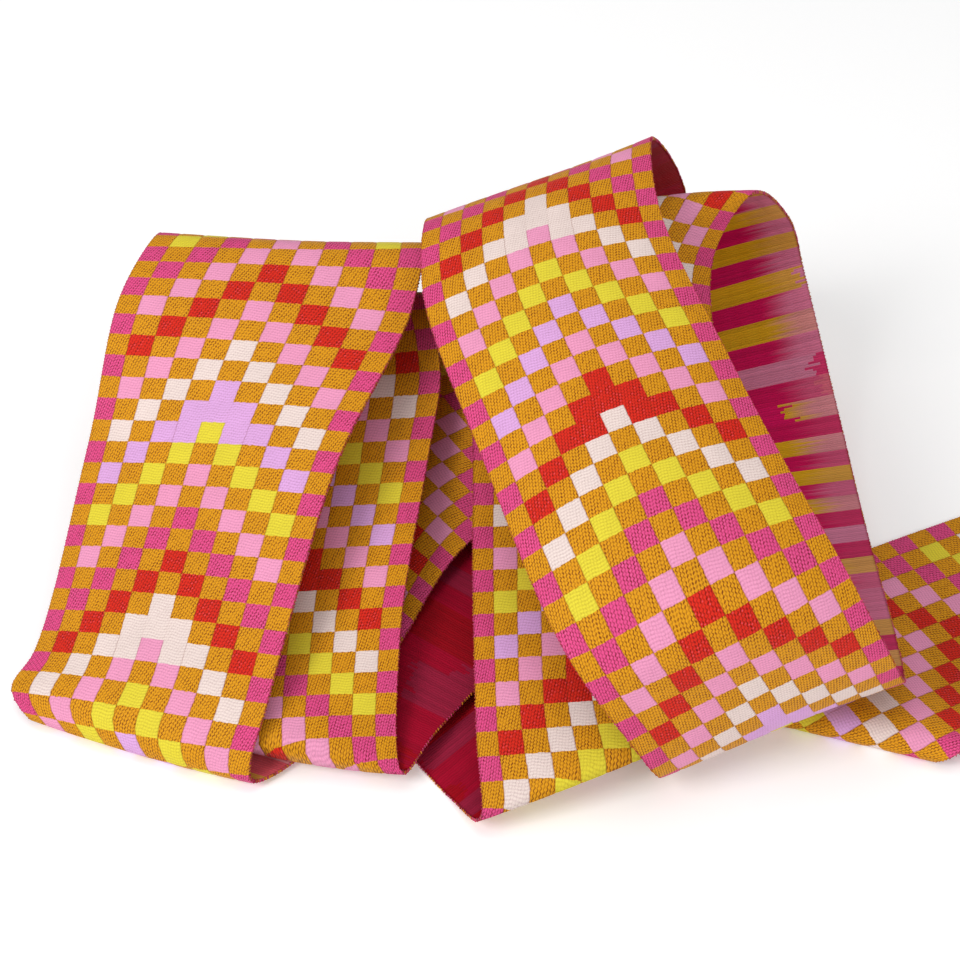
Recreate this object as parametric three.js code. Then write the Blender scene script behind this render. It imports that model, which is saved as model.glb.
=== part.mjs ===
// A woven jacquard ribbon, wound by hand into loose flat loops and laid on a surface.
// Millimetres, +Z up. The loops lie side by side along X and their tight bends face -Y.
// The ribbon is one closed strip: straight crosswise, and carried from its tail end
// at the right, through five loops, to its inner end.

import * as THREE from 'three';

// Driving dimensions
const thickness = 1.0;       // the cloth with its float threads, and the air between close layers
const stepsPerSection = 5;   // steps along the ribbon between two sections
const cellsAcross = 6;       // faces across the ribbon
const bundleCentre = [19.280, -15.748];  // middle of the bundle in the table's own X and Y

// A row for each section across the ribbon, in the order in which it was wound.
// left and right are the two selvedges, as x, y and height of the middle of the cloth;
// bulge is how far the cloth bows out between them, toward its face.
const sections = [
  // The tail lies flat and turns under itself on a diagonal fold
  { at: 'tail, cut end', left: [89, -3, 0.5], right: [105, -37.5, 0.5], bulge: 0 },
  { at: 'tail', left: [61, -16, 0.7], right: [77, -50.5, 0.6], bulge: 0 },
  { at: 'tail, above its fold', left: [15.7, -41.3, 3.6], right: [67.5, -57.5, 3.6], bulge: 0 },
  { at: 'tail, fold', left: [12, -42.5, 2], right: [63.9, -58.5, 2], bulge: 0 },
  { at: 'tail, below its fold', left: [9.6, -39.5, 0.5], right: [61.6, -56.4, 0.5], bulge: 0 },
  // The outer loop, widest and highest, which crosses the front of the bundle
  { at: 'outer loop, on the surface', left: [0, -10, 0.5], right: [38, -4, 0.5], bulge: 0 },
  { at: 'outer loop, foot', left: [-6, 12, 2], right: [30, 25, 2], bulge: 0 },
  { at: 'outer loop, back', left: [-3, 25, 22], right: [34.7, 38, 25], bulge: 0 },
  { at: 'outer loop, crest', left: [-8, 9, 44], right: [25.7, 20.2, 51.5], bulge: 0 },
  { at: 'outer loop, upper front', left: [-8, -7.5, 42], right: [26.1, 2.2, 49.5], bulge: 2.5 },
  { at: 'outer loop, middle front', left: [0.5, -33.5, 35], right: [34.6, -24.5, 43], bulge: 4 },
  { at: 'outer loop, lower front', left: [10.5, -60, 27], right: [46.2, -53, 35], bulge: 3 },
  { at: 'outer loop, near bend', left: [19, -65, 15], right: [52.7, -57.5, 24], bulge: 0 },
  { at: 'outer loop, under its bend', left: [24.5, -62.5, 4], right: [57.8, -53, 12], bulge: 0 },
  // The right loop inside it
  { at: 'right loop, start', left: [22, -47, 5.7], right: [58.6, -44, 9.6], bulge: 0 },
  { at: 'right loop, underside', left: [21, -20, 3.4], right: [58.2, -18, 8], bulge: 0 },
  { at: 'right loop, foot', left: [21, 8, 4], right: [57.5, 8, 8.6], bulge: 0 },
  { at: 'right loop, back', left: [16, 25, 20], right: [52.3, 23, 24.5], bulge: 0 },
  { at: 'right loop, upper back', left: [12.5, 22.5, 30.5], right: [48.3, 21.8, 36], bulge: 1 },
  { at: 'right loop, crest', left: [6, 15.5, 37], right: [41.8, 18.1, 43], bulge: 2.2 },
  { at: 'right loop, upper front', left: [0, 3, 34], right: [35.6, 11.5, 36], bulge: 1.2 },
  { at: 'right loop, middle front', left: [-1, -23.5, 18], right: [36.3, -23.5, 22], bulge: 0 },
  { at: 'right loop, lower front', left: [-0.5, -58, 8], right: [34, -49, 15], bulge: 0 },
  { at: 'right loop, near bend', left: [0, -69.5, 3.2], right: [36.5, -56.5, 11], bulge: 1 },
  // The left loop
  { at: 'left loop, start', left: [-4, -64, 0.8], right: [31, -50, 9.2], bulge: 0 },
  { at: 'left loop, underside', left: [-26, -35, 0.5], right: [8, -21, 4], bulge: 0 },
  { at: 'left loop, foot', left: [-48, -6, 0.5], right: [-15, 8, 2], bulge: 0 },
  { at: 'left loop, back', left: [-53, 26, 18], right: [-13, 23, 20], bulge: 0 },
  { at: 'left loop, crest', left: [-50.5, 21.5, 33], right: [-8.5, 11, 38], bulge: 0 },
  { at: 'left loop, upper front', left: [-55.5, 8.9, 30], right: [-10.5, -2, 34.5], bulge: 0.5 },
  { at: 'left loop, middle front', left: [-59.4, -8.2, 16], right: [-20, -23.5, 26], bulge: 1 },
  { at: 'left loop, lower front', left: [-62, -31, 7], right: [-27, -47, 14], bulge: 1.5 },
  { at: 'left loop, above its near bend', left: [-63.9, -41.1, 4.2], right: [-29.3, -56, 9.3], bulge: 1.6 },
  { at: 'left loop, near bend', left: [-66.3, -47, 3.2], right: [-31.2, -61.5, 4.8], bulge: 1.2 },
  { at: 'left loop, under its near bend', left: [-62.4, -51, 1.3], right: [-31, -62.2, 2], bulge: 0.6 },
  // The second loop inside it
  { at: 'second loop, start', left: [-60, -38, 0.6], right: [-24, -56, 1.2], bulge: 0 },
  { at: 'second loop, underside', left: [-53, -22, 1.2], right: [-16, -30, 3.1], bulge: 0 },
  { at: 'second loop, foot', left: [-45, -6, 3], right: [-9, -4, 5.2], bulge: 0 },
  { at: 'second loop, back', left: [-44, 15, 15], right: [-9, 15, 17], bulge: 0 },
  { at: 'second loop, crest', left: [-44, 13, 27], right: [-8.8, 10.5, 30], bulge: 0 },
  { at: 'second loop, upper front', left: [-44.5, 2.5, 23], right: [-6, -4, 26], bulge: 0 },
  { at: 'second loop, middle front', left: [-45, -12.5, 16], right: [-7.7, -16, 19], bulge: 0 },
  { at: 'second loop, lower front', left: [-46, -37, 7.5], right: [-11.2, -42, 10], bulge: 0 },
  { at: 'second loop, near bend', left: [-45.5, -54.5, 4.5], right: [-10.5, -62, 3.4], bulge: 1.2 },
  // The inner end goes across to the right loop and comes back
  { at: 'inner end, start', left: [-42, -42, 4.2], right: [-6, -55, 3.8], bulge: 0 },
  { at: 'inner end, underside', left: [-14, -6, 7.2], right: [16, -29, 7.4], bulge: 0 },
  { at: 'inner end, back', left: [10, 17, 14], right: [36, -9, 14], bulge: 0 },
  { at: 'inner end, crest', left: [4, 15, 25], right: [30, -11, 22], bulge: 0 },
  { at: 'inner end, upper front', left: [-8, 9, 24], right: [19, -16, 18], bulge: 0 },
  { at: 'inner end, middle front', left: [-26, 2, 18], right: [-1.5, -24, 10], bulge: 0 },
  { at: 'inner end, cut end', left: [-38, -18, 12], right: [-12, -42, 6.2], bulge: 0 },
];

const lowest = thickness / 2;   // height of the middle of the cloth where it lies on the surface
const steps = (sections.length - 1) * stepsPerSection;

// The points of one selvedge: a smooth curve through its ends of the sections,
// nowhere lower than a layer that lies on the surface
function selvedge(side) {
  const ends = sections.map((section) => new THREE.Vector3(
    section[side][0] - bundleCentre[0],
    section[side][1] - bundleCentre[1],
    section[side][2],
  ));
  const curve = new THREE.CatmullRomCurve3(ends, false, 'centripetal');
  const points = [];
  for (let step = 0; step <= steps; step += 1) {
    const point = curve.getPoint(step / steps);
    point.z = Math.max(point.z, lowest);
    points.push(point);
  }
  return points;
}

// The direction out of the cloth's reverse at one point: square to the lines along and across
function reverseNormal(rows, step, cell) {
  const before = rows[Math.max(step - 1, 0)][cell];
  const after = rows[Math.min(step + 1, steps)][cell];
  const toLeft = rows[step][Math.max(cell - 1, 0)];
  const toRight = rows[step][Math.min(cell + 1, cellsAcross)];
  const along = after.clone().sub(before);
  const across = toRight.clone().sub(toLeft);
  return across.cross(along).normalize();
}

// The bulge at one step, eased from each section to the next
function bulgeAt(step) {
  const index = Math.min(Math.floor(step / stepsPerSection), sections.length - 2);
  const share = THREE.MathUtils.smoothstep(step / stepsPerSection - index, 0, 1);
  return THREE.MathUtils.lerp(sections[index].bulge, sections[index + 1].bulge, share);
}

// The middle of the cloth: rows of points, straight from the left selvedge to the right one,
// then bowed by the bulge times 4 u (1 - u), where u is the place across from 0 to 1
function middleRows() {
  const left = selvedge('left');
  const right = selvedge('right');
  const straight = left.map((start, step) => {
    const row = [];
    for (let cell = 0; cell <= cellsAcross; cell += 1) {
      row.push(start.clone().lerp(right[step], cell / cellsAcross));
    }
    return row;
  });
  return straight.map((row, step) => row.map((point, cell) => {
    const u = cell / cellsAcross;
    const bow = bulgeAt(step) * 4 * u * (1 - u);
    return point.clone().addScaledVector(reverseNormal(straight, step, cell), -bow);
  }));
}

// The closed strip: the reverse and the face of the cloth, half a thickness from its middle,
// joined by walls along both selvedges and at both cut ends
function ribbonGeometry() {
  const rows = middleRows();
  const positions = [];
  for (const side of [1, -1]) {
    rows.forEach((row, step) => {
      row.forEach((point, cell) => {
        const offset = reverseNormal(rows, step, cell).multiplyScalar(side * thickness / 2);
        positions.push(...point.clone().add(offset).toArray());
      });
    });
  }

  const perRow = cellsAcross + 1;
  const perSide = rows.length * perRow;
  const back = (step, cell) => step * perRow + cell;
  const face = (step, cell) => perSide + back(step, cell);
  const faces = [];
  const quad = (a, b, c, d) => faces.push(a, b, c, a, c, d);
  for (let step = 0; step < steps; step += 1) {
    for (let cell = 0; cell < cellsAcross; cell += 1) {
      quad(back(step, cell), back(step, cell + 1), back(step + 1, cell + 1), back(step + 1, cell));
      quad(face(step, cell), face(step + 1, cell), face(step + 1, cell + 1), face(step, cell + 1));
    }
    quad(back(step, 0), back(step + 1, 0), face(step + 1, 0), face(step, 0));
    quad(back(step, cellsAcross), face(step, cellsAcross),
      face(step + 1, cellsAcross), back(step + 1, cellsAcross));
  }
  for (let cell = 0; cell < cellsAcross; cell += 1) {
    quad(back(0, cell), face(0, cell), face(0, cell + 1), back(0, cell + 1));
    quad(back(steps, cell), back(steps, cell + 1), face(steps, cell + 1), face(steps, cell));
  }

  const geometry = new THREE.BufferGeometry();
  geometry.setAttribute('position', new THREE.Float32BufferAttribute(positions, 3));
  geometry.setIndex(faces);
  geometry.computeVertexNormals();
  return geometry;
}

const cloth = new THREE.MeshStandardMaterial({ color: 0xd6961e, roughness: 0.75, metalness: 0 });
const ribbon = new THREE.Mesh(ribbonGeometry(), cloth);
ribbon.name = 'ribbon';

const model = new THREE.Group();
model.add(ribbon);

export default model;
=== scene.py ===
# A jacquard ribbon wound by hand into loose flat loops, lying on a pale floor.
# The cloth is one thin strip on the folds of the frame's ribbon, woven with a check of chevrons.

import math

import bpy
import numpy as np
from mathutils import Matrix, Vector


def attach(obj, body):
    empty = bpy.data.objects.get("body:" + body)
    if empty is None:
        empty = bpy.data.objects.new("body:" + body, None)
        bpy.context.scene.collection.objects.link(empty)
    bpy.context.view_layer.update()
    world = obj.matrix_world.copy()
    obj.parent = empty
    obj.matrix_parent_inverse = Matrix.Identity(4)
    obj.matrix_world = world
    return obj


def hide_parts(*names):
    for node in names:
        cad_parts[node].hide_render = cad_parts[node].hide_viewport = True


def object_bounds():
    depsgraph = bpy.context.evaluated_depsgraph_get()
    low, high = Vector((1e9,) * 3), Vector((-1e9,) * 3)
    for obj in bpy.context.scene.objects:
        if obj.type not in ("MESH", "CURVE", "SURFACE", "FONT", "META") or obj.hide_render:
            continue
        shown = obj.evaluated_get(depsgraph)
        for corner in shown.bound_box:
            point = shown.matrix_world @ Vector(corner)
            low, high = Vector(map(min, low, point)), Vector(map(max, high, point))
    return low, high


mm = 0.001

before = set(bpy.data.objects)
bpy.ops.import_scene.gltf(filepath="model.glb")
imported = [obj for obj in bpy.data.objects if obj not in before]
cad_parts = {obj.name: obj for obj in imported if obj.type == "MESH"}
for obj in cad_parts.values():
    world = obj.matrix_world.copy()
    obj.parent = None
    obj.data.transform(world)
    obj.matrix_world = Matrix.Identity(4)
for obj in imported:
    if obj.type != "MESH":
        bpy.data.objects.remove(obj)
cadLow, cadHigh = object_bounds()
boxSides = [round(side / mm, 1) for side in cadHigh - cadLow]
print("frame loaded, nodes:", len(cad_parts), "box in mm:", boxSides)

# The camera stands where the photographer stood, aimed at a point on the floor among the loops
cameraView = {
    "target": (-19.28 * mm, 15.748 * mm, 0.0),
    "elevation": 43,      # degrees above the floor
    "distance": 300 * mm,
    "lens": 69.75,        # for a sensor 36 mm wide
}


def placeCamera(view):
    # The camera looks along +Y and down, at its target
    slope = math.radians(view["elevation"])
    back = (0.0, -math.cos(slope), math.sin(slope))
    camera = bpy.data.cameras.new("camera")
    camera.lens = view["lens"]
    camera.clip_start = 0.01
    camera.clip_end = 20
    eye = bpy.data.objects.new("camera", camera)
    eye.location = [view["target"][i] + view["distance"] * back[i] for i in range(3)]
    eye.rotation_euler = (math.pi / 2 - slope, 0, 0)
    bpy.context.collection.objects.link(eye)
    bpy.context.scene.camera = eye


placeCamera(cameraView)
print("camera placed")

# The ribbon's own sizes
ribbon = {
    "width": 38 * mm,
    "thickness": 0.45 * mm,
    "columns": 11,             # woven cells across
    "outerColumn": 0.87,       # a selvedge column's width as a share of an inner one's
    "rowLength": 3.45 * mm,    # one woven cell along the ribbon
    "facesAlong": 900,
    "columnProfile": ((0, 0), (0.12, 1), (0.5, 1.15), (0.88, 1)),  # place in a column, rib's share
    "ribHeight": 0.05 * mm,    # how far a column stands above the groove beside it
    "puff": 0.02 * mm,         # a cell's swell between two rows
    "waveHeight": 0.25 * mm,   # slow unevenness along the ribbon
    "waves": ((17 * mm, 3, 1.0), (9 * mm, -5, 0.6)),  # length of a radian, slant, share of the height
    "waveFrom": 1.2 * mm,      # the waves begin above this height, where the cloth is off the floor
    "waveEase": 3 * mm,
    "stepsPerSection": 40,     # points of a selvedge between two sections
    "smoothing": 12,           # points on each side over which the ribbon's heading is averaged
    "leadReach": 22 * mm,      # how soon a slanting row of the weave comes square again
    "solidHalf": 0.5 * mm,     # half the thickness of the frame's solid
    "settleReach": 1.5 * mm,   # how near the floor the cloth leaves the solid's middle for the floor
    "centre": (19.28, -15.748),
    "seed": 7,
}

# One row for each section of the winding, from the tail to the inner end, in millimetres:
# where it is, the left selvedge and the right selvedge of the middle of the cloth, and how far
# it bows out between them toward its face
sections = [
    ("tail, cut end", (89, -3, 0.5), (105, -37.5, 0.5), 0),
    ("tail", (61, -16, 0.7), (77, -50.5, 0.6), 0),
    ("tail, above its fold", (15.7, -41.3, 3.6), (67.5, -57.5, 3.6), 0),
    ("tail, fold", (12, -42.5, 2), (63.9, -58.5, 2), 0),
    ("tail, below its fold", (9.6, -39.5, 0.5), (61.6, -56.4, 0.5), 0),
    ("outer loop, on the surface", (0, -10, 0.5), (38, -4, 0.5), 0),
    ("outer loop, foot", (-6, 12, 2), (30, 25, 2), 0),
    ("outer loop, back", (-3, 25, 22), (34.7, 38, 25), 0),
    ("outer loop, crest", (-8, 9, 44), (25.7, 20.2, 51.5), 0),
    ("outer loop, upper front", (-8, -7.5, 42), (26.1, 2.2, 49.5), 2.5),
    ("outer loop, middle front", (0.5, -33.5, 35), (34.6, -24.5, 43), 4),
    ("outer loop, lower front", (10.5, -60, 27), (46.2, -53, 35), 3),
    ("outer loop, near bend", (19, -65, 15), (52.7, -57.5, 24), 0),
    ("outer loop, under its bend", (24.5, -62.5, 4), (57.8, -53, 12), 0),
    ("right loop, start", (22, -47, 5.7), (58.6, -44, 9.6), 0),
    ("right loop, underside", (21, -20, 3.4), (58.2, -18, 8), 0),
    ("right loop, foot", (21, 8, 4), (57.5, 8, 8.6), 0),
    ("right loop, back", (16, 25, 20), (52.3, 23, 24.5), 0),
    ("right loop, upper back", (12.5, 22.5, 30.5), (48.3, 21.8, 36), 1),
    ("right loop, crest", (6, 15.5, 37), (41.8, 18.1, 43), 2.2),
    ("right loop, upper front", (0, 3, 34), (35.6, 11.5, 36), 1.2),
    ("right loop, middle front", (-1, -23.5, 18), (36.3, -23.5, 22), 0),
    ("right loop, lower front", (-0.5, -58, 8), (34, -49, 15), 0),
    ("right loop, near bend", (0, -69.5, 3.2), (36.5, -56.5, 11), 1),
    ("left loop, start", (-4, -64, 0.8), (31, -50, 9.2), 0),
    ("left loop, underside", (-26, -35, 0.5), (8, -21, 4), 0),
    ("left loop, foot", (-48, -6, 0.5), (-15, 8, 2), 0),
    ("left loop, back", (-53, 26, 18), (-13, 23, 20), 0),
    ("left loop, crest", (-50.5, 21.5, 33), (-8.5, 11, 38), 0),
    ("left loop, upper front", (-55.5, 8.9, 30), (-10.5, -2, 34.5), 0.5),
    ("left loop, middle front", (-59.4, -8.2, 16), (-20, -23.5, 26), 1),
    ("left loop, lower front", (-62, -31, 7), (-27, -47, 14), 1.5),
    ("left loop, above its near bend", (-63.9, -41.1, 4.2), (-29.3, -56, 9.3), 1.6),
    ("left loop, near bend", (-66.3, -47, 3.2), (-31.2, -61.5, 4.8), 1.2),
    ("left loop, under its near bend", (-62.4, -51, 1.3), (-31, -62.2, 2), 0.6),
    ("second loop, start", (-60, -38, 0.6), (-24, -56, 1.2), 0),
    ("second loop, underside", (-53, -22, 1.2), (-16, -30, 3.1), 0),
    ("second loop, foot", (-45, -6, 3), (-9, -4, 5.2), 0),
    ("second loop, back", (-44, 15, 15), (-9, 15, 17), 0),
    ("second loop, crest", (-44, 13, 27), (-8.8, 10.5, 30), 0),
    ("second loop, upper front", (-44.5, 2.5, 23), (-6, -4, 26), 0),
    ("second loop, middle front", (-45, -12.5, 16), (-7.7, -16, 19), 0),
    ("second loop, lower front", (-46, -37, 7.5), (-11.2, -42, 10), 0),
    ("second loop, near bend", (-45.5, -54.5, 4.5), (-10.5, -62, 3.4), 1.2),
    ("inner end, start", (-42, -42, 4.2), (-6, -55, 3.8), 0),
    ("inner end, underside", (-14, -6, 7.2), (16, -29, 7.4), 0),
    ("inner end, back", (10, 17, 14), (36, -9, 14), 0),
    ("inner end, crest", (4, 15, 25), (30, -11, 22), 0),
    ("inner end, upper front", (-8, 9, 24), (19, -16, 18), 0),
    ("inner end, middle front", (-26, 2, 18), (-1.5, -24, 10), 0),
    ("inner end, cut end", (-38, -18, 12), (-12, -42, 6.2), 0),
]


def smoothCurve(ends, perSpan):
    # A curve through the ends: each point blends four neighbouring ends, whose knots lie
    # the square root of their distance apart
    ends = np.vstack([2 * ends[0] - ends[1], ends, 2 * ends[-1] - ends[-2]])
    gaps = np.sqrt(np.linalg.norm(np.diff(ends, axis=0), axis=1))
    knots = np.concatenate([[0.0], np.cumsum(gaps)])
    share = np.linspace(0, 1, perSpan, endpoint=False)
    t0, t1, t2, t3 = (knots[i:len(knots) - 3 + i, None, None] for i in range(4))
    p0, p1, p2, p3 = (ends[i:len(ends) - 3 + i, None, :] for i in range(4))
    t = t1 + (t2 - t1) * share[None, :, None]
    a1 = ((t1 - t) * p0 + (t - t0) * p1) / (t1 - t0)
    a2 = ((t2 - t) * p1 + (t - t1) * p2) / (t2 - t1)
    a3 = ((t3 - t) * p2 + (t - t2) * p3) / (t3 - t2)
    b1 = ((t2 - t) * a1 + (t - t0) * a2) / (t2 - t0)
    b2 = ((t3 - t) * a2 + (t - t1) * a3) / (t3 - t1)
    points = ((t2 - t) * b1 + (t - t1) * b2) / (t2 - t1)
    return np.vstack([points.reshape(-1, 3), ends[-2]])


def unit(vectors):
    return vectors / np.linalg.norm(vectors, axis=-1, keepdims=True)


def softened(values, reach):
    # A running mean over 2 * reach + 1 rows, with the ends held
    padded = np.concatenate([values[:1]] * reach + [values] + [values[-1:]] * reach)
    window = np.ones(2 * reach + 1) / (2 * reach + 1)
    return np.apply_along_axis(lambda line: np.convolve(line, window, "valid"), 0, padded)


def selvedgeLead(left, right, squareLead, reach):
    # How much more ribbon has run out at the right selvedge than at the left. It follows the
    # selvedges' own steps closely, and over a longer reach the lead of a row that is square to
    # the ribbon. Minimises the sum of (change of lead - difference of steps) ** 2
    # + stiffness * (lead - square lead) ** 2.
    steps = [np.linalg.norm(np.diff(side, axis=0), axis=1) for side in (left, right)]
    gain = steps[1] - steps[0]
    stiffness = (steps[0].mean() / reach) ** 2
    count = len(left)
    change = np.diff(np.eye(count), axis=0)
    matrix = change.T @ change + stiffness * np.eye(count)
    lead = np.linalg.solve(matrix, change.T @ gain + stiffness * squareLead)
    return lead, np.concatenate([[0], np.cumsum((steps[0] + steps[1]) / 2)])


def layRibbon(form):
    # The selvedges and the woven rows: both selvedges are curves through the sections' ends,
    # cut at equal steps of the length along the middle of the cloth
    perSpan = form["stepsPerSection"]
    left = smoothCurve(np.array([row[1] for row in sections], float), perSpan)
    right = smoothCurve(np.array([row[2] for row in sections], float), perSpan)
    for side in (left, right):
        side[:, :2] -= form["centre"]
        side *= mm
        side[:, 2] = np.maximum(side[:, 2], form["solidHalf"])
        # The thin cloth lies closer to the floor than the thicker solid does
        above = side[:, 2] - form["solidHalf"]
        drop = form["solidHalf"] - form["thickness"] / 2 - form["ribHeight"]
        side[:, 2] -= drop * np.exp(-((above / form["settleReach"]) ** 2))
    middle = (left + right) / 2
    travelled = np.concatenate([[0], np.cumsum(np.linalg.norm(np.diff(middle, axis=0), axis=1))])
    heading = unit(softened(np.gradient(middle, axis=0), form["smoothing"]))
    ahead = ((right - left) * heading).sum(1)  # how far the right selvedge is ahead of the left
    lead = softened(ahead, form["smoothing"])
    span = np.minimum(np.arange(len(middle)) / perSpan, len(sections) - 1)
    share = span - np.floor(span)
    bulge = np.array([row[3] for row in sections] + [sections[-1][3]], float) * mm
    first = np.floor(span).astype(int)
    bulge = bulge[first] + (bulge[first + 1] - bulge[first]) * share ** 2 * (3 - 2 * share)
    even = np.linspace(0, travelled[-1], form["facesAlong"] + 1)
    resample = lambda line: np.interp(even, travelled, line)
    left = np.stack([resample(left[:, i]) for i in range(3)], 1)
    right = np.stack([resample(right[:, i]) for i in range(3)], 1)
    lead, length = selvedgeLead(left, right, resample(lead), form["leadReach"])
    return left, right, length, lead, resample(bulge)


def crosswise(form):
    # Places across the ribbon: u from 0 to 1, the same counted in woven columns, and the rib's share
    inner = 1 / (form["columns"] - 2 + 2 * form["outerColumn"])
    widths = np.full(form["columns"], inner)
    widths[[0, -1]] *= form["outerColumn"]
    starts = np.concatenate([[0], np.cumsum(widths)])
    place, rib = np.array(form["columnProfile"]).T
    columns = (np.arange(form["columns"])[:, None] + place[None, :]).ravel()
    columns = np.append(columns, form["columns"])
    u = np.interp(columns, np.arange(form["columns"] + 1), starts)
    return u, columns, np.append(np.tile(rib, form["columns"]), 0)


def clothSurface(form):
    # The middle of the cloth on a grid: straight from selvedge to selvedge, then bowed by the
    # bulge times 4 u (1 - u) and raised along its normal by the ribs, the cells' swell and a
    # slow wave. Gives both skins and the woven place.
    left, right, length, lead, bulge = layRibbon(form)
    u, columns, rib = crosswise(form)
    grid = left[:, None, :] * (1 - u)[None, :, None] + right[:, None, :] * u[None, :, None]
    rows = (length[:, None] + (u[None, :] - 0.5) * lead[:, None]) / form["rowLength"]
    normal = unit(np.cross(np.gradient(grid, axis=0), np.gradient(grid, axis=1)))
    grid = grid + normal * (bulge[:, None] * 4 * (u * (1 - u))[None, :])[:, :, None]
    normal = unit(np.cross(np.gradient(grid, axis=0), np.gradient(grid, u, axis=1)))
    draws = np.random.default_rng(form["seed"])
    phases = draws.uniform(0, 2 * math.pi, len(form["waves"]))
    slow = 0
    for (wavelength, slant, share), phase in zip(form["waves"], phases):
        slow = slow + share * np.sin(length[:, None] / wavelength + slant * u + phase)
    clear = np.clip((grid[:, :, 2] - form["waveFrom"]) / form["waveEase"], 0, 1)
    grid = grid + normal * (form["waveHeight"] * slow * clear)[:, :, None]
    swell = form["puff"] * np.abs(np.sin(math.pi * rows)) ** 0.5
    relief = (form["ribHeight"] * rib[None, :] + swell * (rib > 0)[None, :])[:, :, None]
    half = form["thickness"] / 2
    face = grid + normal * (half + relief)
    back = grid - normal * (half + 0.5 * relief)
    return face, back, normal, columns, rows


def addMesh(name, points, faces, uv, materials, materialIndex=None):
    # A mesh from whole arrays: points, faces of four corners, and a UV place for each point
    mesh = bpy.data.meshes.new(name)
    mesh.vertices.add(len(points))
    mesh.vertices.foreach_set("co", points.astype(np.float32).ravel())
    mesh.loops.add(faces.size)
    mesh.loops.foreach_set("vertex_index", faces.astype(np.int32).ravel())
    mesh.polygons.add(len(faces))
    mesh.polygons.foreach_set("loop_start", np.arange(0, faces.size, faces.shape[1], dtype=np.int32))
    mesh.polygons.foreach_set("loop_total", np.full(len(faces), faces.shape[1], np.int32))
    mesh.update()
    layer = mesh.uv_layers.new(name="weave")
    layer.data.foreach_set("uv", uv[faces.ravel()].astype(np.float32).ravel())
    for material in materials:
        mesh.materials.append(material)
    if materialIndex is not None:
        mesh.polygons.foreach_set("material_index", materialIndex.astype(np.int32))
    mesh.polygons.foreach_set("use_smooth", np.ones(len(faces), bool))
    mesh.validate()
    piece = bpy.data.objects.new(name, mesh)
    bpy.context.collection.objects.link(piece)
    return piece


def gridFaces(rows, columns, start, turned):
    # Faces of a grid of points numbered row by row from start
    first = np.arange(rows - 1)[:, None] * columns + np.arange(columns - 1)[None, :]
    first = start + first.ravel()
    corners = [first, first + 1, first + columns + 1, first + columns]
    return np.stack(corners[::-1] if turned else corners, 1)


# Colours of the yarns, as they look in soft daylight (sRGB)
yarns = {
    "mustard": (0.86, 0.59, 0.07),
    "hotPink": (0.88, 0.30, 0.53),
    "palePink": (0.93, 0.61, 0.75),
    "red": (0.84, 0.15, 0.08),
    "cream": (0.92, 0.85, 0.82),
    "yellow": (0.89, 0.83, 0.22),
    "violet": (0.87, 0.66, 0.87),
    "crimson": (0.62, 0.0, 0.15),
    "rose": (0.83, 0.03, 0.36),
    "mauve": (0.84, 0.50, 0.62),
    "plum": (0.58, 0.10, 0.22),
    "wine": (0.60, 0.0, 0.08),
    "olive": (0.84, 0.64, 0.08),
    # not a yarn: the brown of the painted shade in the groove between two columns
    "shadedGroove": (0.56, 0.24, 0.08),
}

# The woven pattern: rows of the check form chevrons, each in the next yarn of this list
chevrons = [
    "red", "palePink", "cream", "violet", "yellow", "palePink", "hotPink", "red", "cream", "palePink",
    "yellow", "violet", "palePink", "red", "cream", "yellow", "hotPink", "palePink",
]
solidChevrons = (3, 8, 13)  # places in the list whose point is woven solid
rowShift = 1000  # an even number that keeps the numbers of rows above zero

# How the threads of the face look
weave = {
    "endsPerColumn": 8,        # warp threads in one woven cell
    "picksPerRow": 7,          # floats along one cell
    "stagger": 0.5,            # each thread's floats start this much further than its neighbour's
    "startJitter": 0.35,       # how much that start varies, in floats
    "lean": 0.3,               # how far a float leans across, in thread widths
    "ridgeRound": 0.7,         # powers that round a thread across and a float along
    "domeRound": 0.6,
    "raggedRow": 0.03,         # how uneven a colour's end is along a thread, in cells
    "raggedColumn": 0.02,
    "grooveWidth": 0.04,       # the groove between two columns, in cells
    "stepWidth": 0.07,         # the dip between two rows
    "pointReach": 1.5,         # how far a solid point reaches from the middle, in columns
    "closedGroove": 0.85,      # how far the groove closes inside a solid point
    "pitRange": (0.01, 0.2),   # how open the meeting of four floats is where a pit starts and is full
    "pitChance": (0.7, 0.5),   # the strength of a pit's painted shade is chance times the first, plus the second
    "glintHeight": (0.8, 1.0),  # how high on a float a painted glint starts and is full
    "glintChance": (0.6, 1.0),  # which floats have one, by their chance
    "weftLines": 8,            # floats along a cell of a pale yarn, which lie crosswise
    "weftWaves": 6.3,          # how fast they waver, and how far
    "weftWaver": 0.3,
    "bumpHeight": 0.09 * mm,
}

# How the floats on the reverse look
reverse = {
    "picksPerRow": 9,
    "bandLength": 4.2,         # cells that a float passes before another yarn takes its place
    "bandShift": 5.0,          # how far a row's bands may start from the next row's
    "comb": 1.0,               # how far apart the ends of one band lie, in cells
    "lightEvery": 100,         # rows from one stretch of light rows to the next
    "lightPhase": 0.44,
    "lightFrom": -0.25,        # light rows come where the sine of the row's turn is above this
    "roseShare": 0.8,          # how rosy the dark rows are among the light ones
    "rimRange": (3.0, 4.6),    # columns from the middle where the mauve rim starts and is full
    "rimComb": 0.8,            # how much of the comb the rim follows
    "rimChance": (0.3, 0.6, 0.15, 0.8),  # low and high chance, least and most mauve
    "bend": 1.4,               # how far the picks wander, in picks
    "bendScale": 3.0,
    "ridgeShade": 0.2,         # how much darker the painted shade makes the valley between two picks
    "pickShade": 0.2,          # how much one pick's tone differs from another's
    # numbers that keep the draws of chance apart
    "combDraw": 5.0,
    "shiftDraw": 2.0,
    "rimDraw": 21.0,
    "toneDraw": 8.0,
    "darkRow": ["crimson", "wine", "crimson", "plum", "wine", "crimson", "crimson", "olive", "wine"],
    "lightRow": ["olive", "mauve", "olive", "olive", "rose", "olive", "olive", "olive"],
}


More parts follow.
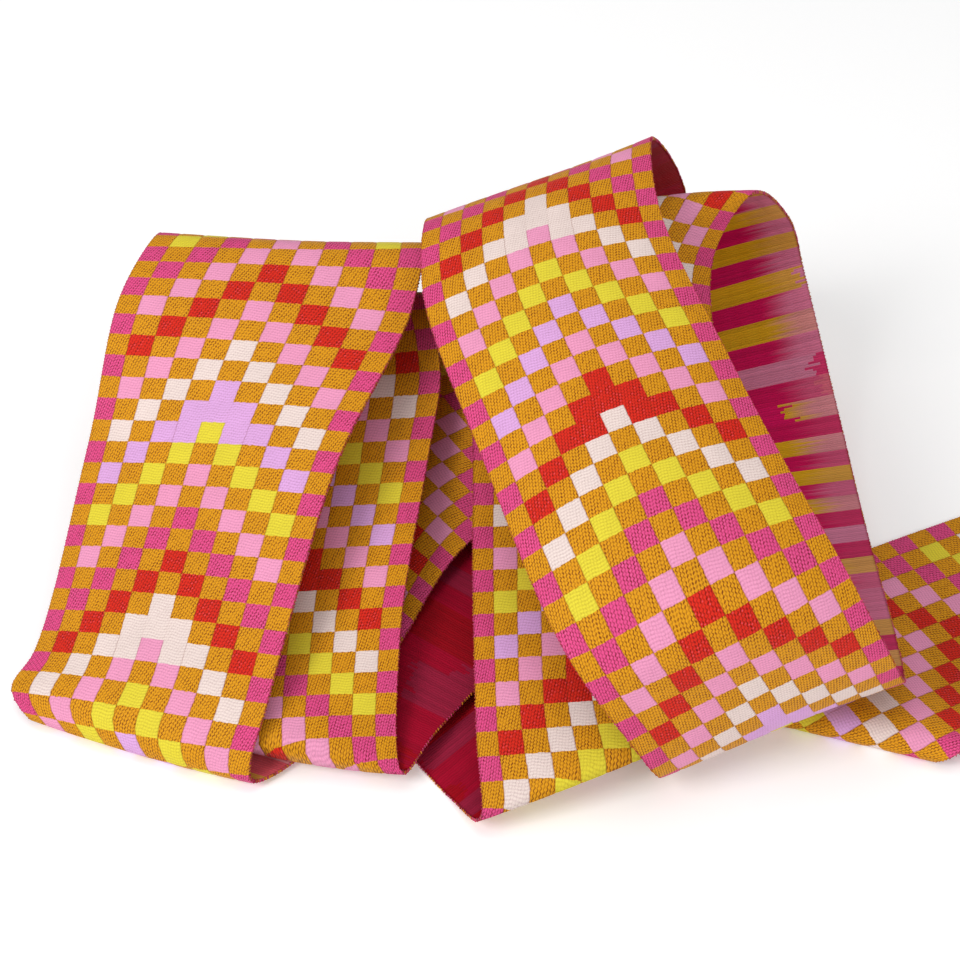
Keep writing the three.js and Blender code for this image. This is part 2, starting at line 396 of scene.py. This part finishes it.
def linear(name):
    # A yarn's colour in linear light
    parts = (((c + 0.055) / 1.055) ** 2.4 if c > 0.04045 else c / 12.92 for c in yarns[name])
    return (*parts, 1.0)


def addNode(tree, kind, inputs=None, **settings):
    # A node with its settings, and its inputs linked to sockets or set to values
    made = tree.nodes.new(kind)
    for name, value in settings.items():
        setattr(made, name, value)
    for key, value in (inputs or {}).items():
        if isinstance(value, bpy.types.NodeSocket):
            tree.links.new(value, made.inputs[key])
        else:
            made.inputs[key].default_value = value
    return made


def maths(tree, operation, *values):
    return addNode(tree, "ShaderNodeMath", dict(enumerate(values)), operation=operation).outputs[0]


def rangeOf(tree, value, fromLow, fromHigh, toLow=0.0, toHigh=1.0):
    # The value's place between two limits, smooth at both
    inputs = {
        "Value": value, "From Min": fromLow, "From Max": fromHigh, "To Min": toLow, "To Max": toHigh,
    }
    return addNode(tree, "ShaderNodeMapRange", inputs, interpolation_type="SMOOTHSTEP").outputs[0]


def mixed(tree, share, first, second, blend="MIX"):
    inputs = {0: share, 6: first, 7: second}
    return addNode(tree, "ShaderNodeMix", inputs, data_type="RGBA", blend_type=blend).outputs[2]


def greyOf(tree, tone):
    return addNode(tree, "ShaderNodeCombineColor", {0: tone, 1: tone, 2: tone}).outputs[0]


def toned(tree, colour, tone):
    # The colour, lighter or darker by the tone
    return mixed(tree, 1.0, colour, greyOf(tree, tone), "MULTIPLY")


def chance(tree, first, second):
    # A number from 0 to 1 that belongs to two whole numbers
    place = addNode(tree, "ShaderNodeCombineXYZ", {0: first, 1: second}).outputs[0]
    made = addNode(tree, "ShaderNodeTexWhiteNoise", {"Vector": place}, noise_dimensions="2D")
    return made.outputs["Value"]


def steppedRamp(tree, share, colours):
    # Equal steps of colour from 0 to 1
    ramp = addNode(tree, "ShaderNodeValToRGB", {"Fac": share})
    ramp.color_ramp.interpolation = "CONSTANT"
    stops = ramp.color_ramp.elements
    while len(stops) < len(colours):
        stops.new(0.5)
    for i, colour in enumerate(colours):
        stops[i].position = i / len(colours)
        stops[i].color = colour
    return ramp.outputs["Color"]


def newGroup(name, inputs, outputs):
    # An empty node group with its sockets, each given as a name and a type
    group = bpy.data.node_groups.new(name, "ShaderNodeTree")
    for label, kind in inputs:
        group.interface.new_socket(name=label, in_out="INPUT", socket_type=kind)
    for label, kind in outputs:
        group.interface.new_socket(name=label, in_out="OUTPUT", socket_type=kind)
    return group, group.nodes.new("NodeGroupInput"), group.nodes.new("NodeGroupOutput")


def chevronGroup():
    # The yarn that lies on the face at a woven place (column, row). A cell's number is its row
    # less its distance from the middle column. Odd cells are mustard, and even ones take their
    # yarn from the list of chevrons, two numbers to each.
    tree, source, result = newGroup(
        "chevronCheck", [("Place", "NodeSocketVector")],
        [("Color", "NodeSocketColor"), ("Groove", "NodeSocketFloat"), ("Step", "NodeSocketFloat")],
    )
    u, v, _ = addNode(tree, "ShaderNodeSeparateXYZ", {0: source.outputs["Place"]}).outputs
    end = maths(tree, "FLOOR", maths(tree, "MULTIPLY", u, weave["endsPerColumn"]))
    pick = maths(tree, "FLOOR", maths(tree, "MULTIPLY", v, weave["picksPerRow"]))
    tooth = maths(tree, "SUBTRACT", chance(tree, end, maths(tree, "ROUND", v)), 0.5)
    v2 = maths(tree, "MULTIPLY_ADD", tooth, weave["raggedRow"], v)
    nick = maths(tree, "SUBTRACT", chance(tree, pick, maths(tree, "ROUND", u)), 0.5)
    u2 = maths(tree, "MULTIPLY_ADD", nick, weave["raggedColumn"], u)
    column = maths(tree, "FLOOR", u2)
    row = maths(tree, "FLOOR", v2)
    middle = ribbon["columns"] // 2
    away = maths(tree, "ABSOLUTE", maths(tree, "SUBTRACT", column, middle))
    number = maths(tree, "ADD", maths(tree, "SUBTRACT", row, away), rowShift)
    ground = maths(tree, "MODULO", number, 2)  # 1 on a mustard cell
    line = maths(tree, "MULTIPLY", maths(tree, "SUBTRACT", number, ground), 0.5)
    count = len(chevrons)
    share = maths(tree, "DIVIDE", maths(tree, "ADD", maths(tree, "MODULO", line, count), 0.5), count)
    accent = steppedRamp(tree, share, [linear(name) for name in chevrons])
    white, black = (1.0, 1.0, 1.0, 1.0), (0.0, 0.0, 0.0, 1.0)
    marks = [white if i in solidChevrons else black for i in range(count)]
    solid = steppedRamp(tree, share, marks)
    near = maths(tree, "LESS_THAN", away, weave["pointReach"])
    filled = maths(tree, "MULTIPLY", near, solid)
    mustard = maths(tree, "MULTIPLY", ground, maths(tree, "SUBTRACT", 1.0, filled))
    outer = maths(tree, "GREATER_THAN", away, middle - 0.5)
    colour = mixed(tree, outer, accent, linear("hotPink"))
    colour = mixed(tree, mustard, colour, linear("mustard"))
    # Distance to the nearest line between two columns, and between two rows
    fromLine = maths(tree, "ABSOLUTE", maths(tree, "SUBTRACT", u2, maths(tree, "ROUND", u2)))
    shadedGroove = rangeOf(tree, fromLine, 0.0, weave["grooveWidth"], 1.0, 0.0)
    openShare = maths(tree, "MULTIPLY_ADD", filled, -weave["closedGroove"], 1.0)
    shadedGroove = maths(tree, "MULTIPLY", shadedGroove, openShare)
    fromRow = maths(tree, "ABSOLUTE", maths(tree, "SUBTRACT", v2, maths(tree, "ROUND", v2)))
    step = rangeOf(tree, fromRow, 0.0, weave["stepWidth"], 1.0, 0.0)
    for label, socket in (("Color", colour), ("Groove", shadedGroove), ("Step", step)):
        tree.links.new(socket, result.inputs[label])
    return tree


def threadGroup():
    # Floats of the warp: each thread is a round ridge, cut into short domes that start a little
    # later than the next thread's. The height is the product of a sine across and a sine along.
    # Lines is the height of weft floats, which cross the cell and waver a little.
    tree, source, result = newGroup(
        "threads", [("Place", "NodeSocketVector")],
        [(label, "NodeSocketFloat") for label in ("Height", "Pit", "Glint", "Lines")],
    )
    u, v, _ = addNode(tree, "ShaderNodeSeparateXYZ", {0: source.outputs["Place"]}).outputs
    across = maths(tree, "MULTIPLY", u, weave["endsPerColumn"])
    across = maths(tree, "MULTIPLY_ADD", v, weave["picksPerRow"] * weave["lean"], across)
    end = maths(tree, "FLOOR", across)
    wobble = maths(tree, "MULTIPLY", chance(tree, end, maths(tree, "FLOOR", v)), weave["startJitter"])
    along = maths(tree, "MULTIPLY_ADD", v, weave["picksPerRow"], wobble)
    along = maths(tree, "MULTIPLY_ADD", end, weave["stagger"], along)
    ridge = maths(tree, "ABSOLUTE", maths(tree, "SINE", maths(tree, "MULTIPLY", across, math.pi)))
    dome = maths(tree, "ABSOLUTE", maths(tree, "SINE", maths(tree, "MULTIPLY", along, math.pi)))
    roundRidge = maths(tree, "POWER", ridge, weave["ridgeRound"])
    roundDome = maths(tree, "POWER", dome, weave["domeRound"])
    height = maths(tree, "MULTIPLY", roundRidge, roundDome)
    # Painted shade: a pit is dark where four floats meet
    offRidge = maths(tree, "SUBTRACT", 1.0, ridge)
    offDome = maths(tree, "SUBTRACT", 1.0, dome)
    between = maths(tree, "MULTIPLY", offRidge, offDome)
    fate = chance(tree, maths(tree, "ROUND", across), maths(tree, "ROUND", along))
    strength = maths(tree, "MULTIPLY_ADD", fate, *weave["pitChance"])
    pit = maths(tree, "MULTIPLY", rangeOf(tree, between, *weave["pitRange"]), strength)
    # A painted glint brightens the top of some floats
    luck = rangeOf(tree, chance(tree, end, maths(tree, "FLOOR", along)), *weave["glintChance"])
    glint = maths(tree, "MULTIPLY", rangeOf(tree, height, *weave["glintHeight"]), luck)
    swing = maths(tree, "SINE", maths(tree, "MULTIPLY", u, weave["weftWaves"]))
    waver = maths(tree, "MULTIPLY", swing, weave["weftWaver"])
    weft = maths(tree, "MULTIPLY_ADD", v, weave["weftLines"], waver)
    lines = maths(tree, "ABSOLUTE", maths(tree, "SINE", maths(tree, "MULTIPLY", weft, math.pi)))
    for label, socket in (("Height", height), ("Pit", pit), ("Glint", glint), ("Lines", lines)):
        tree.links.new(socket, result.inputs[label])
    return tree


def reverseGroup():
    # The reverse: in each row the yarns that the face leaves out float across in long bands,
    # whose ends are combed because each pick ends at its own place. Dark rows take turns with
    # lighter ones along some stretches, where mauve picks also show near the selvedges.
    tree, source, result = newGroup(
        "reverseFloats", [("Place", "NodeSocketVector")],
        [("Color", "NodeSocketColor"), ("Height", "NodeSocketFloat")],
    )
    u, v, _ = addNode(tree, "ShaderNodeSeparateXYZ", {0: source.outputs["Place"]}).outputs
    pickPlace = maths(tree, "MULTIPLY", v, reverse["picksPerRow"])
    pick = maths(tree, "FLOOR", pickPlace)
    row = maths(tree, "FLOOR", v)
    tooth = maths(tree, "SUBTRACT", chance(tree, pick, reverse["combDraw"]), 0.5)
    comb = maths(tree, "MULTIPLY", tooth, reverse["comb"])
    shift = chance(tree, row, reverse["shiftDraw"])
    offset = maths(tree, "MULTIPLY", shift, reverse["bandShift"])
    place = maths(tree, "ADD", maths(tree, "ADD", u, comb), offset)
    band = maths(tree, "FLOOR", maths(tree, "DIVIDE", place, reverse["bandLength"]))
    draw = chance(tree, band, row)
    dark = steppedRamp(tree, draw, [linear(name) for name in reverse["darkRow"]])
    light = steppedRamp(tree, draw, [linear(name) for name in reverse["lightRow"]])
    # Light rows come and go along the ribbon
    perRow = 2 * math.pi / reverse["lightEvery"]
    turn = maths(tree, "MULTIPLY_ADD", row, perRow, reverse["lightPhase"])
    lightHere = maths(tree, "GREATER_THAN", maths(tree, "SINE", turn), reverse["lightFrom"])
    odd = maths(tree, "MODULO", maths(tree, "ADD", row, rowShift), 2.0)
    rosy = maths(tree, "MULTIPLY", lightHere, reverse["roseShare"])
    dark = mixed(tree, rosy, dark, linear("rose"))
    colour = mixed(tree, maths(tree, "MULTIPLY", odd, lightHere), dark, light)
    combed = maths(tree, "MULTIPLY_ADD", comb, reverse["rimComb"], u)
    away = maths(tree, "ABSOLUTE", maths(tree, "SUBTRACT", combed, ribbon["columns"] / 2))
    rim = maths(tree, "MULTIPLY", rangeOf(tree, away, *reverse["rimRange"]), lightHere)
    rowShare = rangeOf(tree, chance(tree, row, reverse["rimDraw"]), *reverse["rimChance"])
    colour = mixed(tree, maths(tree, "MULTIPLY", rim, rowShare), colour, linear("mauve"))
    noise = {"Scale": reverse["bendScale"], "Detail": 2.0, "Vector": source.outputs["Place"]}
    waver = addNode(tree, "ShaderNodeTexNoise", noise).outputs["Fac"]
    bent = maths(tree, "MULTIPLY_ADD", waver, reverse["bend"], pickPlace)
    ridge = maths(tree, "ABSOLUTE", maths(tree, "SINE", maths(tree, "MULTIPLY", bent, math.pi)))
    # painted shade in the valley between two picks
    valleyShade = maths(tree, "MULTIPLY_ADD", ridge, reverse["ridgeShade"], 1 - reverse["ridgeShade"])
    fate = chance(tree, pick, reverse["toneDraw"])
    pickTone = maths(tree, "MULTIPLY_ADD", fate, reverse["pickShade"], 1 - reverse["pickShade"] / 2)
    colour = toned(tree, colour, maths(tree, "MULTIPLY", valleyShade, pickTone))
    tree.links.new(colour, result.inputs["Color"])
    tree.links.new(ridge, result.inputs["Height"])
    return tree


def newMaterial(name, roughness, specular, sheen):
    # A material with one Principled shader, whose constant values sit on its own sockets
    material = bpy.data.materials.new(name)
    material.use_nodes = True
    shader = material.node_tree.nodes["Principled BSDF"]
    shader.inputs["Roughness"].default_value = roughness
    shader.inputs["Specular IOR Level"].default_value = specular
    shader.inputs["Sheen Weight"].default_value = sheen
    shader.inputs["Sheen Roughness"].default_value = 0.4
    return material, material.node_tree, shader


def wovenPlace(tree):
    return addNode(tree, "ShaderNodeUVMap", uv_map="weave").outputs[0]


def addBump(tree, shader, height, distance, strength):
    inputs = {"Height": height, "Distance": distance, "Strength": strength}
    bump = addNode(tree, "ShaderNodeBump", inputs)
    tree.links.new(bump.outputs[0], shader.inputs["Normal"])


def useGroup(tree, group, place):
    made = tree.nodes.new("ShaderNodeGroup")
    made.node_tree = group
    tree.links.new(place, made.inputs["Place"])
    return made


# How the face takes the threads: ranges are of a colour's green in linear light
faceLook = {
    "paleGreen": (0.31, 0.328),         # yarns above this lie crosswise in flat lines
    "pinkGreen": (0.14, 0.2),           # yarns below this get painted glints: the red and the hot pink
    # painted shade in the pits between floats: its share, how much fainter in a pale yarn, its tint
    "pitShade": 0.8,
    "palePitLess": 0.62,                # how much fainter a pit's painted shade is in a pale yarn
    "pitShadeTint": (0.24, 0.11, 0.08, 1.0),
    # painted shade between the weft floats of a pale yarn: its tint and its share
    "lineShadeTint": (0.74, 0.66, 0.7, 1.0),
    "lineShadeShare": 0.6,
    "glintShare": 0.22,
    # how far the groove between two columns takes the brown of its painted shade
    "grooveShadeShare": 0.42,
    "patchScale": 0.7,                  # slow patches of tone, in patches a cell
    "patchDepth": 0.16,
    # how much each relief adds to the bump
    "paleWarpLess": 0.8,
    "paleWeft": 0.5,
    "grooveDip": -1.2,
    "stepDip": -0.3,
}


def faceMaterial(check, threads, look):
    # The face: the yarn's colour, with painted shade in the pits between floats, painted glints on a
    # few floats, and painted shade, brown, in the groove between two columns. Pale yarns lie in flat
    # weft lines, with painted shade between them and few pits.
    material, tree, shader = newMaterial("ribbon face", roughness=0.62, specular=0.16, sheen=0.04)
    place = wovenPlace(tree)
    cells = useGroup(tree, check, place)
    floats = useGroup(tree, threads, place)
    colour = cells.outputs["Color"]
    green = addNode(tree, "ShaderNodeSeparateColor", {0: colour}).outputs[1]
    pale = rangeOf(tree, green, *look["paleGreen"])
    pitShadeHere = maths(tree, "MULTIPLY_ADD", pale, -look["palePitLess"], look["pitShade"])
    # painted shade in the pits between floats
    pitShaded = mixed(tree, 1.0, colour, look["pitShadeTint"], "MULTIPLY")
    colour = mixed(tree, maths(tree, "MULTIPLY", floats.outputs["Pit"], pitShadeHere), colour, pitShaded)
    # Painted shade between the weft floats of a pale yarn
    between = maths(tree, "MULTIPLY", maths(tree, "SUBTRACT", 1.0, floats.outputs["Lines"]), pale)
    lineShaded = mixed(tree, 1.0, colour, look["lineShadeTint"], "MULTIPLY")
    colour = mixed(tree, maths(tree, "MULTIPLY", between, look["lineShadeShare"]), colour, lineShaded)
    pinkish = rangeOf(tree, green, *look["pinkGreen"], 1.0, 0.0)
    # painted highlight: pale pink glints on the tops of some floats
    paintedGlint = maths(tree, "MULTIPLY", pinkish, look["glintShare"])
    paintedGlint = maths(tree, "MULTIPLY", floats.outputs["Glint"], paintedGlint)
    colour = mixed(tree, paintedGlint, colour, linear("palePink"))
    # painted shade, brown, in the groove between two columns
    grooveShadeShare = maths(tree, "MULTIPLY", cells.outputs["Groove"], look["grooveShadeShare"])
    colour = mixed(tree, grooveShadeShare, colour, linear("shadedGroove"))
    patches = {"Scale": look["patchScale"], "Detail": 3.0, "Vector": place}
    slow = addNode(tree, "ShaderNodeTexNoise", patches).outputs["Fac"]
    tone = maths(tree, "MULTIPLY_ADD", slow, look["patchDepth"], 1 - look["patchDepth"] / 2)
    tree.links.new(toned(tree, colour, tone), shader.inputs["Base Color"])
    warpShare = maths(tree, "MULTIPLY_ADD", pale, -look["paleWarpLess"], 1.0)
    relief = maths(tree, "MULTIPLY", floats.outputs["Height"], warpShare)
    weftShare = maths(tree, "MULTIPLY", pale, look["paleWeft"])
    relief = maths(tree, "MULTIPLY_ADD", floats.outputs["Lines"], weftShare, relief)
    relief = maths(tree, "MULTIPLY_ADD", cells.outputs["Groove"], look["grooveDip"], relief)
    relief = maths(tree, "MULTIPLY_ADD", cells.outputs["Step"], look["stepDip"], relief)
    addBump(tree, shader, relief, distance=weave["bumpHeight"], strength=0.6)
    return material


def reverseMaterial(floats):
    material, tree, shader = newMaterial("ribbon reverse", roughness=0.65, specular=0.12, sheen=0.0)
    bands = useGroup(tree, floats, wovenPlace(tree))
    tree.links.new(bands.outputs["Color"], shader.inputs["Base Color"])
    addBump(tree, shader, bands.outputs["Height"], distance=weave["bumpHeight"], strength=0.5)
    return material


# How much crimson covers a weft turn: low and high chance, least and most crimson
edgeLook = {
    "crimsonChance": (0.2, 0.8, 0.3, 0.85),
    "turnDraw": 17.0,
}


def edgeMaterial(check, look):
    # Weft turning at the selvedge: the cell's own yarn, more or less hidden by crimson at each turn
    material, tree, shader = newMaterial("selvedge threads", roughness=0.62, specular=0.2, sheen=0.1)
    place = wovenPlace(tree)
    cells = useGroup(tree, check, place)
    v = addNode(tree, "ShaderNodeSeparateXYZ", {0: place}).outputs[1]
    turn = maths(tree, "FLOOR", maths(tree, "MULTIPLY", v, weave["picksPerRow"]))
    share = rangeOf(tree, chance(tree, turn, look["turnDraw"]), *look["crimsonChance"])
    colour = mixed(tree, share, cells.outputs["Color"], linear("crimson"))
    tree.links.new(colour, shader.inputs["Base Color"])
    return material


check, threads, floats = chevronGroup(), threadGroup(), reverseGroup()
faceCloth = faceMaterial(check, threads, faceLook)
reverseCloth = reverseMaterial(floats)
edgeYarn = edgeMaterial(check, edgeLook)
print("materials made")


def makeCloth(form):
    # Two skins of the strip, closed along both selvedges and at both cut ends
    face, back, normal, columns, rows = clothSurface(form)
    along, across = rows.shape
    points = np.concatenate([face.reshape(-1, 3), back.reshape(-1, 3)])
    place = np.stack([np.broadcast_to(columns, rows.shape), rows], -1).reshape(-1, 2)
    uv = np.concatenate([place, place])
    skin = along * across
    faceSide = gridFaces(along, across, 0, True)
    backSide = gridFaces(along, across, skin, False)
    step = np.arange(along - 1)
    cell = np.arange(across - 1)
    last = across - 1
    edges = []
    for a, b, turned in (
        (step * across, (step + 1) * across, False),
        (step * across + last, (step + 1) * across + last, True),
        (cell, cell + 1, True),
        ((along - 1) * across + cell, (along - 1) * across + cell + 1, False),
    ):
        quad = np.stack([a, b, b + skin, a + skin], 1)
        edges.append(quad[:, ::-1] if turned else quad)
    faces = np.concatenate([faceSide, backSide] + edges)
    index = np.zeros(len(faces), int)
    index[len(faceSide):len(faceSide) + len(backSide)] = 1
    cloth = addMesh("ribbon_cloth", points, faces, uv, [faceCloth, reverseCloth], index)
    return cloth, face, back, normal, columns, rows


cloth, face, back, normal, columns, rows = makeCloth(ribbon)
print("cloth made,", len(cloth.data.polygons), "faces")

# The weft shows as a tiny loop wherever it turns at a selvedge
turns = {
    "perRow": 7,
    "reach": 0.12 * mm,     # how far a loop stands out of the selvedge
    "inset": 0.06 * mm,     # how far inside the selvedge it starts
    "radius": 0.11 * mm,    # the yarn's
    "lean": 0.15 * mm,      # the most that a loop leans along the ribbon
    "uneven": 0.3,          # how much the loops' reach varies
    "rings": 5,
    "sides": 4,
    "seed": 3,
}


def makeTurns(name, edge, inward, column, form):
    # Half-round loops in the plane across the selvedge: each is a short tube along the arc
    # edge + outward * reach * sin(angle) + normal * half the cloth * cos(angle)
    spacing = ribbon["rowLength"] / form["perRow"]
    travelled = np.concatenate([[0], np.cumsum(np.linalg.norm(np.diff(edge, axis=0), axis=1))])
    count = int(travelled[-1] / spacing)
    at = (np.arange(count) + 0.5) * spacing
    pick = lambda line: np.stack([np.interp(at, travelled, line[:, i]) for i in range(3)], 1)
    centre, out, up = pick(edge), unit(-pick(inward)), unit(pick(normal[:, column]))
    woven = np.interp(at, travelled, rows[:, column])
    draw = np.random.default_rng(form["seed"]).uniform(-1, 1, (count, 2))
    ahead = unit(np.cross(out, up))
    angle = np.linspace(0.0, math.pi, form["rings"])
    reach = form["reach"] * (1 + form["uneven"] * draw[:, 0])
    lean = form["lean"] * draw[:, 1]
    half = ribbon["thickness"] / 2
    past = reach[:, None] * np.sin(angle) - form["inset"]
    line = centre[:, None, :] + out[:, None, :] * past[:, :, None]
    line = line + up[:, None, :] * (half * np.cos(angle))[None, :, None]
    line = line + ahead[:, None, :] * (lean[:, None] * np.sin(angle))[:, :, None]
    around = np.arange(form["sides"]) * 2 * math.pi / form["sides"]
    outwards = out[:, None, :] * np.sin(angle)[None, :, None]
    outwards = outwards + up[:, None, :] * np.cos(angle)[None, :, None]
    ring = outwards[:, :, None, :] * np.cos(around)[None, None, :, None]
    ring = ring + ahead[:, None, None, :] * np.sin(around)[None, None, :, None]
    points = (line[:, :, None, :] + form["radius"] * ring).reshape(-1, 3)
    rings, sides = form["rings"], form["sides"]
    base = (np.arange(count) * rings * sides)[:, None, None]
    i = np.arange(rings - 1)[None, :, None] * sides
    j = np.arange(sides)[None, None, :]
    k = (j + 1) % sides
    lower, upper = base + i, base + i + sides
    quads = np.stack(np.broadcast_arrays(lower + j, lower + k, upper + k, upper + j), -1)
    start = base[:, :, 0]
    side = np.arange(sides)
    caps = np.stack([start + side[::-1], start + (rings - 1) * sides + side], 1)
    faces = np.concatenate([quads.reshape(-1, 4), caps.reshape(-1, sides)])
    inColumn = 0.5 if column == 0 else ribbon["columns"] - 0.5
    uv = np.stack([np.full(len(points), inColumn), np.repeat(woven, rings * sides)], 1)
    return addMesh(name, points, faces, uv, [edgeYarn])


middleSkin = (face + back) / 2
leftEdge, rightEdge = middleSkin[:, 0], middleSkin[:, -1]
perColumn = len(ribbon["columnProfile"])  # grid places from one column's groove to the next
leftInward = middleSkin[:, perColumn] - leftEdge
rightInward = middleSkin[:, -1 - perColumn] - rightEdge
leftTurns = makeTurns("left_selvedge_loops", leftEdge, leftInward, 0, turns)
rightTurns = makeTurns("right_selvedge_loops", rightEdge, rightInward, -1, turns)
print("selvedges made,", len(leftTurns.data.polygons) + len(rightTurns.data.polygons), "faces")

for piece in (cloth, leftTurns, rightTurns):
    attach(piece, "root")
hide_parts("ribbon")

# A pale floor and a soft studio
studio = {
    "floorSize": 6.0,
    "floorTone": 0.96,
    "floorGrain": 0.02,      # how much lighter the palest grain is
    "grainScale": 900.0,     # grains in a metre
    "floorGlow": 0.14,       # a light table's faint glow, which keeps the floor pale
    "world": 0.36,
    # place, size and strength of each soft light, aimed at the ribbon
    "key": ((-0.58, -0.38, 0.6), 0.4, 4.2),
    "fill": ((0.3, -0.7, 0.62), 0.6, 2.2),
    "top": ((-0.1, 0.1, 0.9), 0.7, 1.9),
}


def makeStudio(look):
    half = look["floorSize"] / 2
    points = np.array([(-half, -half, 0), (half, -half, 0), (half, half, 0), (-half, half, 0)])
    material, tree, shader = newMaterial("floor", roughness=0.9, specular=0.1, sheen=0.0)
    noise = addNode(tree, "ShaderNodeTexNoise", {"Scale": look["grainScale"], "Detail": 2.0})
    tree.links.new(addNode(tree, "ShaderNodeTexCoord").outputs["Object"], noise.inputs["Vector"])
    tone = maths(tree, "MULTIPLY_ADD", noise.outputs["Fac"], look["floorGrain"], look["floorTone"])
    tree.links.new(greyOf(tree, tone), shader.inputs["Base Color"])
    shader.inputs["Emission Color"].default_value = (1.0, 1.0, 1.0, 1.0)
    shader.inputs["Emission Strength"].default_value = look["floorGlow"]
    floor = addMesh("floor", points, np.array([[0, 1, 2, 3]]), points[:, :2], [material])
    world = bpy.data.worlds.new("studio")
    world.use_nodes = True
    world.node_tree.nodes["Background"].inputs["Color"].default_value = (1.0, 1.0, 1.0, 1.0)
    world.node_tree.nodes["Background"].inputs["Strength"].default_value = look["world"]
    bpy.context.scene.world = world
    for name in ("key", "fill", "top"):
        place, size, strength = look[name]
        lamp = bpy.data.lights.new(name, "AREA")
        lamp.size = size
        lamp.energy = strength
        holder = bpy.data.objects.new(name, lamp)
        holder.location = place
        away = np.array(place) / np.linalg.norm(place)
        holder.rotation_euler = (math.acos(away[2]), 0, math.atan2(away[1], away[0]) + math.pi / 2)
        bpy.context.collection.objects.link(holder)


makeStudio(studio)
bpy.context.scene.view_settings.view_transform = "Standard"
print("studio made")
